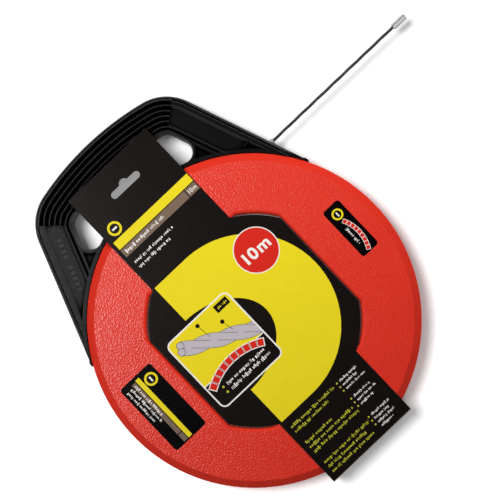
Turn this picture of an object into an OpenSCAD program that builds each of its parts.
// Fish tape reel. A hollow round drum turns in the saddle of a carry handle and winds a stiff
// pulling tape, which leaves through a guide in one leg of the handle. A folded display card
// is slipped over drum and handle from below.
// +Z is the drum's axis, towards its printed face. +Y points to the handle, +X along the tape.
// The origin is on the drum's axis, in the plane that the reel rests on when it lies on its back.

/* [Drum] */
// Outer diameter of the drum
drum_d = 262; // [258:1:266]
// Thickness of the drum from back face to front face
drum_t = 36; // [36:0.5:40]
// Wall thickness of the drum's two shells
drum_wall = 2.4; // [2:0.1:2.8]
// Width of the bevel between face and rim, seen from the front
bevel_w = 6; // [5:0.5:9]
// Height of the same bevel
bevel_h = 4; // [3:0.5:6]
// Width of the slot that runs around the rim between the shells
rim_slot = 7; // [6.8:0.1:8]
// Size of the central opening across its flats
opening_flats = 140.4; // [138:0.2:142]
// Diameter of the central opening across its round corners
opening_d = 167.8; // [166:0.2:168]
// Radius of the rounded lip around the opening
lip_r = 3; // [2:0.25:3]
// Diameter that the tape is wound on
core_d = 173.8; // [173:0.2:174.4]

/* [Handle] */
// Thickness of the handle from back to front
handle_t = 32; // [31:0.5:33]
// Height of the grip's top above the drum's rim
grip_reach = 59.3; // [57:0.1:63]
// Angle that each leg leans inwards
leg_lean = 20.4; // [20:0.1:21]
// Outer radius of the grip's arc
grip_arc_r = 240; // [230:1:250]
// Outer radius of the corners between grip and legs
corner_r = 38; // [37:0.5:39]
// Width of the band that the legs and grip are made of
band_w = 28.3; // [27.5:0.1:29]
// Distance that each leg's tip stops short of touching the drum
leg_tip = 15; // [13:0.5:18]
// Number of ribs along the grip
rib_count = 6; // [4:1:6]
// Distance between neighbouring ribs
rib_pitch = 4.2; // [4:0.05:4.2]
// Running gap between the handle's saddle and the drum
saddle_gap = 0.5; // [0.3:0.1:0.8]

/* [Tape] */
// Diameter of the tape over its strands
tape_d = 2.7; // [2.4:0.1:2.8]
// Height of the tape's straight run above the drum's axis
tape_y = 92.5; // [92:0.1:93]
// Reach of the tape's tip from the drum's axis
tip_x = 252; // [200:1:300]
// Length of the metal tip
tip_l = 13.1; // [10:0.1:14]
// Diameter of the metal tip
tip_d = 5.5; // [4.6:0.1:5.6]
// Diameter of the threaded socket in the tip
socket_d = 3.3; // [3.2:0.1:3.4]
// Layers of tape on the core, counted outwards
coil_layers = 4; // [2:1:5]
// Turns of tape side by side in each layer
coil_rows = 4; // [2:1:4]

/* [Display card] */
// Width of the card's strip
card_w = 82.6; // [76:0.2:90]
// Height of the card's top edge above the drum's axis
card_top = 167.7; // [164:0.1:172]
// Gap between the drum's rim and the fold under it
fold_gap = 2.7; // [2:0.1:6]
// Thickness of the card
card_t = 0.5; // [0.4:0.1:0.6]
// Outer radius of the card's two folds
fold_r = 1.5; // [1:0.25:2.5]
// Width of the hanging slot
hang_w = 28.9; // [26:0.1:32]
// Height of the hanging slot's straight part
hang_h = 5.8; // [5:0.1:7]

/* [Hidden] */
$fn = 96;

// Heights: the card's back panel, a gap, the drum, a gap, the card's front panel.
card_gap_back = 0.3;
card_gap_front = 0.25;
drum_back_z = card_t + card_gap_back;
drum_front_z = drum_back_z + drum_t;
split_z = drum_back_z + drum_t / 2;

// Drum
drum_r = drum_d / 2;
drum_half = drum_t / 2;
opening_r = opening_d / 2;
core_r = core_d / 2;
hub_screw_x = opening_flats / 2 + drum_wall + 5.9;
hub_screw_y = 20;
hub_points = [for (turn = [0:90:270]) for (side = [-1, 1])
    rotated([hub_screw_x, side * hub_screw_y], turn)];

// Screws: one thread size joins both pairs of shells.
screw_r = 1.5;
screw_bite_r = screw_r + 0.05;
screw_pass_r = screw_r + 0.2;
screw_head_r = 2.9;
screw_head_h = 2;
screw_room = 0.5;
boss_r = 3.8;

// Handle: the band's outer edge is two leaning legs, two corners and an arc.
crest = handle_t / 2;
saddle_r = drum_r + saddle_gap;
saddle_w = 2.9;
leg_end_r = 4.5;
leg_end_proud = 0.5;
grip_c_y = drum_r + grip_reach - grip_arc_r;
corner_along = grip_c_y * cos(leg_lean)
    + sqrt(pow(grip_arc_r - corner_r, 2) - pow(saddle_r - corner_r - grip_c_y * sin(leg_lean), 2));
corner_c = leg_point(corner_r, corner_along);
corner_end = atan2(corner_c.y - grip_c_y, corner_c.x);
rib_start = 40;
skin = 2.2;
shoulder_z = crest - 1.6;
panel_z = crest - 3.5;
gap_z = crest - 7;
handle_bite = gap_z - 1.5;
bead_z = crest - 0.5;
groove_z = crest - 3.3;
hole_wall_steps = [[0, crest - 0.9], [0.2, crest - 3.2], [0.6, crest - 6.5], [1, crest - 10.5], [1.3, 0]];
last_step = hole_wall_steps[len(hole_wall_steps) - 1];
below = 1;
hole_corner_r = 10;
hole_corner_inset = band_w + hole_corner_r - 0.15;
hole_corner_along = along_at(hole_corner_inset, saddle_r + saddle_w + hole_corner_r - 0.15);
hole_corner_c = leg_point(hole_corner_inset, hole_corner_along);
band_mid = band_w / 2;
grip_points = concat(
    [[0, drum_r + grip_reach - band_mid]],
    both_sides(corner_c + (corner_r - band_mid) * [cos(58), sin(58)])
);
lug_points = both_sides(leg_point(band_mid, corner_along - 45));
leg_points = concat(both_sides(leg_point(band_mid, corner_along - 20)), lug_points);
handle_points = concat(grip_points, leg_points);

// Shoe that holds the drum in the saddle
shoe_gap = 0.4;
shoe_half = rim_slot / 2 - shoe_gap;
shoe_flange_half = shoe_half + 2.9;
shoe_flange_r = drum_r - drum_wall - saddle_gap;
shoe_flange_t = 2.3;
shoe_root_r = saddle_r + 1.7;
shoe_start = 29;
lug_r = boss_r + 0.8;
lug_neck = 2 * lug_r - 1;

// Tape
tape_r = tape_d / 2;
guide_r = 2.5;
guide_bore_r = 1.75;
guide_block_x = 93;
guide_start_x = 98.8;
guide_end_x = 108.4;
guide_collar_x = 99.6;
guide_collar_r = 3.4;
guide_collar_t = 1.4;
lead_start_x = 50;
socket_depth = 6.5;
tip_grip = 3.5;
coil_step = tape_d + 0.2;
eyelet_y = -hub_screw_x;
eyelet_r = 3.7;
eyelet_t = 1.2;
eyelet_z = split_z - 6;

// Labels
label_t = 0.15;
label_corner_r = 2.5;

function rotated(p, a) = [p.x * cos(a) - p.y * sin(a), p.x * sin(a) + p.y * cos(a)];
function both_sides(p) = [p, [-p.x, p.y]];

// A point of the right leg: inset from its outer face, and distance along it from where it would touch
// the drum.
function leg_point(inset, along) = [
    (saddle_r - inset) * cos(leg_lean) - along * sin(leg_lean),
    (saddle_r - inset) * sin(leg_lean) + along * cos(leg_lean)
];

// Where along the right leg a line at one inset has a given distance from the drum's axis.
function along_at(inset, r) = sqrt(r * r - pow(saddle_r - inset, 2));

// Corner points of one raised bead of a cross-section, with rounded shoulders.
function bead(c, w, top, base_l, base_r, flank_r = 0.35) = [
    [c - w / 2 - 0.35, base_l], [c - w / 2, top - 0.4], [c - w / 2 + 0.35, top],
    [c + w / 2 - 0.35, top], [c + w / 2, top - 0.4], [c + w / 2 + flank_r, base_r]
];

// Cross-sections of the band, as [inset from the outer edge, height above the split plane]. They start
// below that plane, and band() cuts them there.
function band_outside() = [
    [0, -below], [0, crest - 5], [0.4, crest - 3.2], [1.1, crest - 2.1], [2.2, shoulder_z]
];
function band_inside() = concat(
    bead(band_w - 0.9, 1.2, bead_z, groove_z, hole_wall_steps[0][1], 0.3),
    [for (step = hole_wall_steps) [band_w + step.x, step.y]],
    [[band_w + last_step.x, -below]]
);

module leg_section() {
    polygon(concat(
        band_outside(), [[2.7, shoulder_z]],
        bead(5.55, 3.5, crest, crest - 2.8, panel_z, 2.1),
        bead(band_w - 4.3, 1.6, bead_z, panel_z, groove_z),
        band_inside()
    ));
}

module grip_section() {
    first_rib = 3.3;
    polygon(concat(
        band_outside(),
        [for (k = [0:rib_count - 1], p = bead(first_rib + k * rib_pitch, 1.0, crest,
            k == 0 ? shoulder_z : gap_z, gap_z)) p],
        [[band_w - 2.6, gap_z]],
        band_inside()
    ));
}

// Cross-section of the hollow inside the band.
module hollow_section(ceiling) {
    polygon([[drum_wall, -below], [drum_wall, ceiling], [band_w - 1.9, ceiling], [band_w - 1.1, -below]]);
}

// Turns a cross-section drawn inwards from the edge into one drawn outwards from a centre.
module about(r) {
    translate([r, 0]) mirror([1, 0]) children();
}

// The right half of the band above the split plane: plain leg, ribbed corner and ribbed grip. Each piece
// starts at a plane of its own turned frame. The grip's section is a hair larger and lower than the leg's,
// so that the two kinds of corner overlap without sharing a surface.
module band_side() {
    overlap = 0.5;
    hair = 0.05;
    translate([corner_c.x, corner_c.y, 0]) {
        rotate([0, 0, leg_lean]) {
            rotate([90, 0, 0]) linear_extrude(corner_along - leg_tip - leg_end_r)
                about(corner_r) leg_section();
            rotate_extrude(angle = rib_start - leg_lean) about(corner_r) leg_section();
        }
        translate([0, 0, -hair]) rotate([0, 0, corner_end]) {
            rotate_extrude(angle = rib_start - corner_end - overlap) about(corner_r + hair) grip_section();
            translate([corner_r - grip_arc_r, 0, 0])
                rotate_extrude(angle = 90 - corner_end + overlap) about(grip_arc_r + hair) grip_section();
        }
    }
}

module band() {
    for (side = [0, 1]) mirror([side, 0, 0]) intersection() {
        band_side();
        cube([drum_d, drum_d, handle_t]);
    }
}

// The hollows inside the band, with a thin wall between neighbours.
module band_hollows() {
    corner_wall = 2;
    grip_wall = 0.3;
    for (side = [0, 1]) mirror([side, 0, 0]) translate([corner_c.x, corner_c.y, 0]) {
        rotate([0, 0, leg_lean]) rotate([90, 0, 0]) linear_extrude(corner_along)
            about(corner_r) hollow_section(panel_z - skin);
        rotate([0, 0, leg_lean + corner_wall]) rotate_extrude(angle = corner_end - leg_lean - 2 * corner_wall)
            about(corner_r) hollow_section(gap_z - skin);
    }
    translate([0, grip_c_y, 0]) rotate([0, 0, corner_end + grip_wall])
        rotate_extrude(angle = 180 - 2 * (corner_end + grip_wall)) about(grip_arc_r)
            hollow_section(gap_z - skin);
}

// Everything between the legs' outer faces, seen from the front, above the legs' tips.
module between_legs(inset) {
    low = leg_point(inset, leg_tip + leg_end_r);
    high = leg_point(inset, 95);
    polygon([low, high, [0, drum_r + 20], [-high.x, high.y], [-low.x, low.y]]);
}

// Rounded end of the right leg, slightly proud of its outer face.
module leg_end() {
    c = leg_point(leg_end_r - leg_end_proud, leg_tip + leg_end_r);
    translate([c.x, c.y, 0]) cylinder(r = leg_end_r, h = crest - 3);
}

// Arched wall that faces the drum's rim, and bulges into the hand hole as the band does.
module saddle() {
    top = crest - 0.8;
    intersection() {
        rotate_extrude($fn = 180) polygon(concat(
            [[saddle_r - 1, 0], [saddle_r - 1, top], [saddle_r + saddle_w - 0.3, top]],
            [for (step = hole_wall_steps) [saddle_r + saddle_w + step.x, step.y]]
        ));
        linear_extrude(crest) between_legs(0.5);
    }
}

// Triangle between a leg, the hand hole's corner and the saddle, on the right side.
module foot_area(inset) {
    polygon([
        leg_point(inset, hole_corner_along),
        leg_point(inset, along_at(inset, saddle_r + 0.8)),
        hole_corner_c * ((saddle_r + 0.8) / norm(hole_corner_c)),
        hole_corner_c
    ]);
}

module foot() {
    difference() {
        linear_extrude(bead_z) foot_area(band_w - 1.2);
        translate([hole_corner_c.x, hole_corner_c.y, 0]) rotate_extrude()
            polygon(concat([[0, crest + 1], [hole_corner_r, crest + 1]],
                [for (step = hole_wall_steps) [hole_corner_r - step.x, step.y]], [[0, 0]]));
        translate([0, 0, panel_z]) linear_extrude(crest) difference() {
            foot_area(band_w + 0.6);
            circle(r = saddle_r + saddle_w + 0.3, $fn = 180);
            translate(hole_corner_c) circle(r = hole_corner_r + 1.9);
        }
    }
}

// Block that holds the tape guide in the right leg.
module guide_block() {
    linear_extrude(guide_collar_r + 3) intersection() {
        translate([guide_block_x, tape_y - 6]) square([14, 12]);
        between_legs(0.5);
    }
}

// Bead across the right leg's panel, above the tape guide.
module cross_rib() {
    translate([0, 0, panel_z - 1]) linear_extrude(3.6) intersection() {
        translate([guide_block_x - 6, tape_y + 11.5]) square([14, 1.4]);
        between_legs(6);
    }
}

// One half of the handle above its split plane, the same for front and back apart from the screws.
module handle_half() {
    difference() {
        union() {
            difference() {
                band();
                band_hollows();
            }
            saddle();
            for (side = [0, 1]) mirror([side, 0, 0]) {
                foot();
                leg_end();
            }
            guide_block();
            cross_rib();
            for (p = grip_points) translate([p.x, p.y, 0]) cylinder(r = boss_r, h = gap_z - 0.5);
            for (p = leg_points) translate([p.x, p.y, 0]) cylinder(r = boss_r, h = panel_z - 0.5);
        }
        translate([0, 0, -1]) cylinder(r = saddle_r, h = handle_t, $fn = 180);
        translate([0, 0, -1]) linear_extrude(1 + shoe_half + 0.1) shoe_root(0.15);
        translate([guide_block_x - 6, tape_y, 0]) rotate([0, 90, 0]) cylinder(r = guide_r + 0.05, h = 30);
        translate([guide_collar_x - 0.1, tape_y, 0]) rotate([0, 90, 0])
            cylinder(r = guide_collar_r + 0.1, h = guide_collar_t + 0.2);
    }
}

module handle_front_shell() {
    color([0.08, 0.08, 0.09]) translate([0, 0, split_z]) difference() {
        handle_half();
        for (p = handle_points) translate([p.x, p.y, -1])
            cylinder(r = screw_bite_r, h = 1 + handle_bite + screw_room);
    }
}

module handle_back_shell() {
    color([0.08, 0.08, 0.09]) translate([0, 0, split_z]) mirror([0, 0, 1]) difference() {
        union() {
            difference() {
                handle_half();
                for (p = handle_points) translate([p.x, p.y, panel_z]) cylinder(r = boss_r + 1.4, h = 10);
            }
            for (p = handle_points) translate([p.x, p.y, gap_z - 1.5])
                cylinder(r = boss_r + 1.4, h = panel_z - gap_z + 1.5);
        }
        for (p = handle_points) translate([p.x, p.y, 0]) {
            translate([0, 0, -1]) cylinder(r = screw_pass_r, h = crest);
            translate([0, 0, panel_z - screw_head_h - 0.2]) cylinder(r = screw_head_r + 0.3, h = 6);
        }
    }
}

// Cross-head screw with its head at the back: underside of the head at z 0, shank towards +Z.
module screw(shank) {
    difference() {
        union() {
            cylinder(r = screw_r, h = shank);
            translate([0, 0, -screw_head_h]) cylinder(r = screw_head_r, h = screw_head_h);
        }
        for (turn = [0, 90])
            rotate([0, 0, turn]) translate([-1.8, -0.4, -screw_head_h - 1]) cube([3.6, 0.8, 2]);
    }
}

module handle_screws() {
    head_z = split_z - panel_z + screw_head_h + 0.2;
    color([0.7, 0.7, 0.72]) for (p = handle_points)
        translate([p.x, p.y, head_z]) screw(panel_z - screw_head_h - 0.2 + handle_bite);
}

// Short metal tube with a collar, clamped between the handle's halves.
module tape_guide() {
    color([0.75, 0.76, 0.78]) translate([0, tape_y, split_z]) rotate([0, 90, 0]) difference() {
        union() {
            translate([0, 0, guide_start_x]) cylinder(r = guide_r, h = guide_end_x - guide_start_x);
            translate([0, 0, guide_collar_x]) cylinder(r = guide_collar_r, h = guide_collar_t);
        }
        translate([0, 0, guide_start_x - 1]) cylinder(r = guide_bore_r, h = guide_end_x - guide_start_x + 2);
    }
}

// Plan of the shoe's part that is clamped in the handle: an arc with a lug at each lower screw.
module shoe_root(grow) {
    arc_sector(saddle_r - 3, shoe_root_r + grow);
    for (p = lug_points) {
        translate(p) circle(r = lug_r + grow);
        rotate([0, 0, atan2(p.y, p.x)]) translate([saddle_r - 1, -lug_neck / 2 - grow])
            square([norm(p) - saddle_r + 1, lug_neck + 2 * grow]);
    }
}

// Part of a flat ring, from shoe_start on the right to the same angle on the left.
module arc_sector(r_in, r_out) {
    reach = 2 * r_out;
    edge = [cos(shoe_start), sin(shoe_start)] * reach;
    intersection() {
        difference() {
            circle(r = r_out, $fn = 180);
            circle(r = r_in, $fn = 180);
        }
        polygon([[0, 0], edge, [edge.x, reach], [-edge.x, reach], [-edge.x, edge.y]]);
    }
}

// T-shaped slide that runs in the drum's rim slot and keeps the drum in the saddle.
module rim_shoe() {
    color([0.85, 0.84, 0.8]) translate([0, 0, split_z]) difference() {
        union() {
            translate([0, 0, -shoe_flange_half]) linear_extrude(2 * shoe_flange_half)
                arc_sector(shoe_flange_r - shoe_flange_t, shoe_flange_r);
            translate([0, 0, -shoe_half]) linear_extrude(2 * shoe_half) {
                arc_sector(shoe_flange_r - 1, shoe_root_r);
                shoe_root(0);
            }
        }
        for (p = lug_points) translate([p.x, p.y, -5]) cylinder(r = screw_pass_r, h = 10);
        translate([60, tape_y, 0]) rotate([0, 90, 0]) cylinder(r = tape_r + 0.5, h = 60);
    }
}

// The central opening: a circle cut by four flats.
module opening_area(grow) {
    intersection() {
        circle(r = opening_r + grow, $fn = 180);
        square(opening_flats + 2 * grow, center = true);
    }
}

// Profile that widens from a at the wall to a + lip_r at the face, [distance from the axis, height].
module lip_profile(a) {
    polygon(concat(
        [[0, -1], [a, -1]],
        [for (t = [0:15:90]) [a + lip_r * (1 - cos(t)), drum_half - lip_r * (1 - sin(t))]],
        [[a + lip_r, drum_half + 1], [0, drum_half + 1]]
    ));
}

module straight_lip() {
    rotate([90, 0, 0]) linear_extrude(drum_d, center = true) for (side = [0, 1])
        mirror([side, 0]) translate([-0.1, 0]) lip_profile(opening_flats / 2 + 0.1);
}

// What is cut out of a shell for the opening: a round bore and two straight ones, each with the lip.
module opening_cut() {
    intersection() {
        rotate_extrude($fn = 180) lip_profile(opening_r);
        straight_lip();
        rotate([0, 0, 90]) straight_lip();
    }
}

// One drum shell above the split plane. hub_bite is the radius of its screw holes.
module drum_half(hub_bite, hub_depth) {
    rim_inner = drum_r - drum_wall;
    difference() {
        union() {
            rotate_extrude($fn = 180) polygon([
                [rim_inner, rim_slot / 2], [drum_r, rim_slot / 2], [drum_r, drum_half - bevel_h],
                [drum_r - bevel_w, drum_half], [60, drum_half], [60, drum_half - drum_wall],
                [drum_r - bevel_w - 0.9, drum_half - drum_wall], [rim_inner, drum_half - bevel_h - 1.1]
            ]);
            linear_extrude(drum_half - 1) opening_area(drum_wall);
            linear_extrude(drum_half - 1) difference() {
                circle(r = core_r, $fn = 180);
                circle(r = core_r - drum_wall, $fn = 180);
            }
            for (p = hub_points) translate([p.x, p.y, 0]) cylinder(r = boss_r, h = drum_half - 1);
        }
        opening_cut();
        for (p = hub_points) translate([p.x, p.y, -1]) cylinder(r = hub_bite, h = 1 + hub_depth);
    }
}

module drum_front_shell() {
    color([0.88, 0.2, 0.13]) translate([0, 0, split_z]) drum_half(screw_bite_r, 11);
}

module drum_back_shell() {
    color([0.88, 0.2, 0.13]) difference() {
        union() {
            translate([0, 0, split_z]) mirror([0, 0, 1]) drum_half(screw_pass_r, drum_t);
            translate([0, eyelet_y, drum_back_z + 1]) cylinder(r = boss_r, h = eyelet_z - drum_back_z - 1);
        }
        for (p = hub_points) translate([p.x, p.y, drum_back_z - 1])
            cylinder(r = screw_head_r + 0.2, h = 1 + screw_head_h + 0.6);
        translate([0, eyelet_y, eyelet_z - 7.5]) cylinder(r = screw_bite_r, h = 10);
    }
}

module drum_screws() {
    head_z = drum_back_z + screw_head_h + 0.6;
    color([0.7, 0.7, 0.72]) for (p = hub_points)
        translate([p.x, p.y, head_z]) screw(split_z - head_z + 10);
}

// The wound tape, as one closed ring for each turn.
module tape_coil() {
    first_r = core_r + tape_r + 0.1;
    first_z = drum_back_z + drum_wall + tape_r + 0.15;
    color([0.16, 0.16, 0.17]) for (layer = [0:coil_layers - 1], row = [0:coil_rows - 1])
        translate([0, 0, first_z + row * coil_step])
            rotate_extrude($fn = 180)
                translate([first_r + layer * coil_step, 0]) circle(r = tape_r, $fn = 24);
}

// Crimped eyelet on the tape's inner end, screwed down inside the hub.
module tape_end_eyelet() {
    barrel_l = 12;
    barrel_r = 2.2;
    color([0.75, 0.76, 0.78]) translate([0, eyelet_y, eyelet_z]) difference() {
        union() {
            cylinder(r = eyelet_r, h = eyelet_t);
            translate([-barrel_l - 2.6, -1.6, 0]) cube([barrel_l, 3.2, eyelet_t]);
            translate([-barrel_l - 4, 0, barrel_r])
                rotate([0, 90, 0]) cylinder(r = barrel_r, h = barrel_l - 2);
        }
        translate([0, 0, -1]) cylinder(r = screw_pass_r, h = 4);
        translate([-barrel_l - 5, 0, barrel_r])
            rotate([0, 90, 0]) cylinder(r = tape_r + 0.05, h = barrel_l - 3);
    }
}

module eyelet_screw() {
    color([0.7, 0.7, 0.72]) translate([0, eyelet_y, eyelet_z + eyelet_t]) rotate([180, 0, 0]) screw(8);
}

module rounded_plate(w, h) {
    linear_extrude(label_t) {
        square([w - 2 * label_corner_r, h], center = true);
        square([w, h - 2 * label_corner_r], center = true);
        for (x = [-1, 1], y = [-1, 1])
            translate([x * (w / 2 - label_corner_r), y * (h / 2 - label_corner_r)])
                circle(r = label_corner_r, $fn = 32);
    }
}

module drum_label_left() {
    color([0.1, 0.09, 0.08]) translate([-97.9, 0.4, drum_front_z]) rounded_plate(32, 64.8);
}

module drum_label_right() {
    color([0.1, 0.09, 0.08]) translate([104.1, 0.8, drum_front_z]) rounded_plate(16.4, 46.8);
}

// The straight run of tape between coil and tip.
module tape_lead() {
    color([0.16, 0.16, 0.17]) translate([lead_start_x, tape_y, split_z]) rotate([0, 90, 0])
        cylinder(r = tape_r, h = tip_x - tip_l + tip_grip - lead_start_x);
}

// Metal tip crimped on the tape, with a threaded socket for pulling accessories.
module tape_tip() {
    chamfer = 0.6;
    tip_r = tip_d / 2;
    color([0.8, 0.81, 0.83]) translate([tip_x - tip_l, tape_y, split_z]) rotate([0, 90, 0]) difference() {
        rotate_extrude() polygon([
            [0, 0], [tip_r - chamfer, 0], [tip_r, chamfer],
            [tip_r, tip_l - chamfer], [tip_r - chamfer, tip_l], [0, tip_l]
        ]);
        translate([0, 0, -1]) cylinder(r = tape_r + 0.05, h = 1 + tip_grip + 0.1);
        translate([0, 0, tip_l - socket_depth]) cylinder(r = socket_d / 2, h = socket_depth + 1);
    }
}

// Hanging slot with its round rise, larger all around by grow.
module hang_slot(grow) {
    h = hang_h + 2 * grow;
    translate([0, card_top - 21.7]) {
        square([hang_w - hang_h, h], center = true);
        for (side = [-1, 1]) translate([side * (hang_w - hang_h) / 2, 0]) circle(r = h / 2, $fn = 48);
        translate([0, 1.5]) circle(r = 4.2 + grow, $fn = 48);
    }
}

// The folded strip from the side, as [y, z]: a box with two round corners at the fold.
module fold_profile(inset) {
    low = -drum_r - fold_gap - card_t + inset;
    high = drum_front_z + card_gap_front + card_t - inset;
    r = fold_r - inset;
    translate([low + r, inset]) square([card_top - low, high - inset]);
    translate([low, inset + r]) square([2 * r, high - inset - 2 * r]);
    for (z = [inset + r, high - r]) translate([low + r, z]) circle(r = r, $fn = 48);
}

// The strip as a closed loop of card that is open at its top end.
module card_strip() {
    rotate([90, 0, 90]) linear_extrude(card_w, center = true) intersection() {
        difference() {
            fold_profile(0);
            fold_profile(card_t);
        }
        translate([-drum_d, -1]) square([drum_d + card_top, drum_d]);
    }
}

// The part of the front panel that fills the drum's opening.
module card_window() {
    intersection() {
        circle(r = opening_r - 1.2, $fn = 180);
        square([opening_flats - 0.8, opening_d], center = true);
    }
}

// One card folded under the drum, with a front and a back panel. The back panel's slot is larger, so that a
// hook still passes when the panels don't line up.
module display_card() {
    front_z = drum_front_z + card_gap_front;
    color([0.1, 0.09, 0.08]) difference() {
        union() {
            card_strip();
            translate([0, 0, front_z]) linear_extrude(card_t) card_window();
        }
        translate([0, 0, drum_back_z]) linear_extrude(drum_d) hang_slot(0);
        translate([0, 0, -1]) linear_extrude(1 + drum_back_z) hang_slot(4);
    }
}

handle_front_shell();
handle_back_shell();
handle_screws();
tape_guide();
rim_shoe();
drum_front_shell();
drum_back_shell();
drum_screws();
tape_coil();
tape_end_eyelet();
eyelet_screw();
drum_label_left();
drum_label_right();
tape_lead();
tape_tip();
display_card();
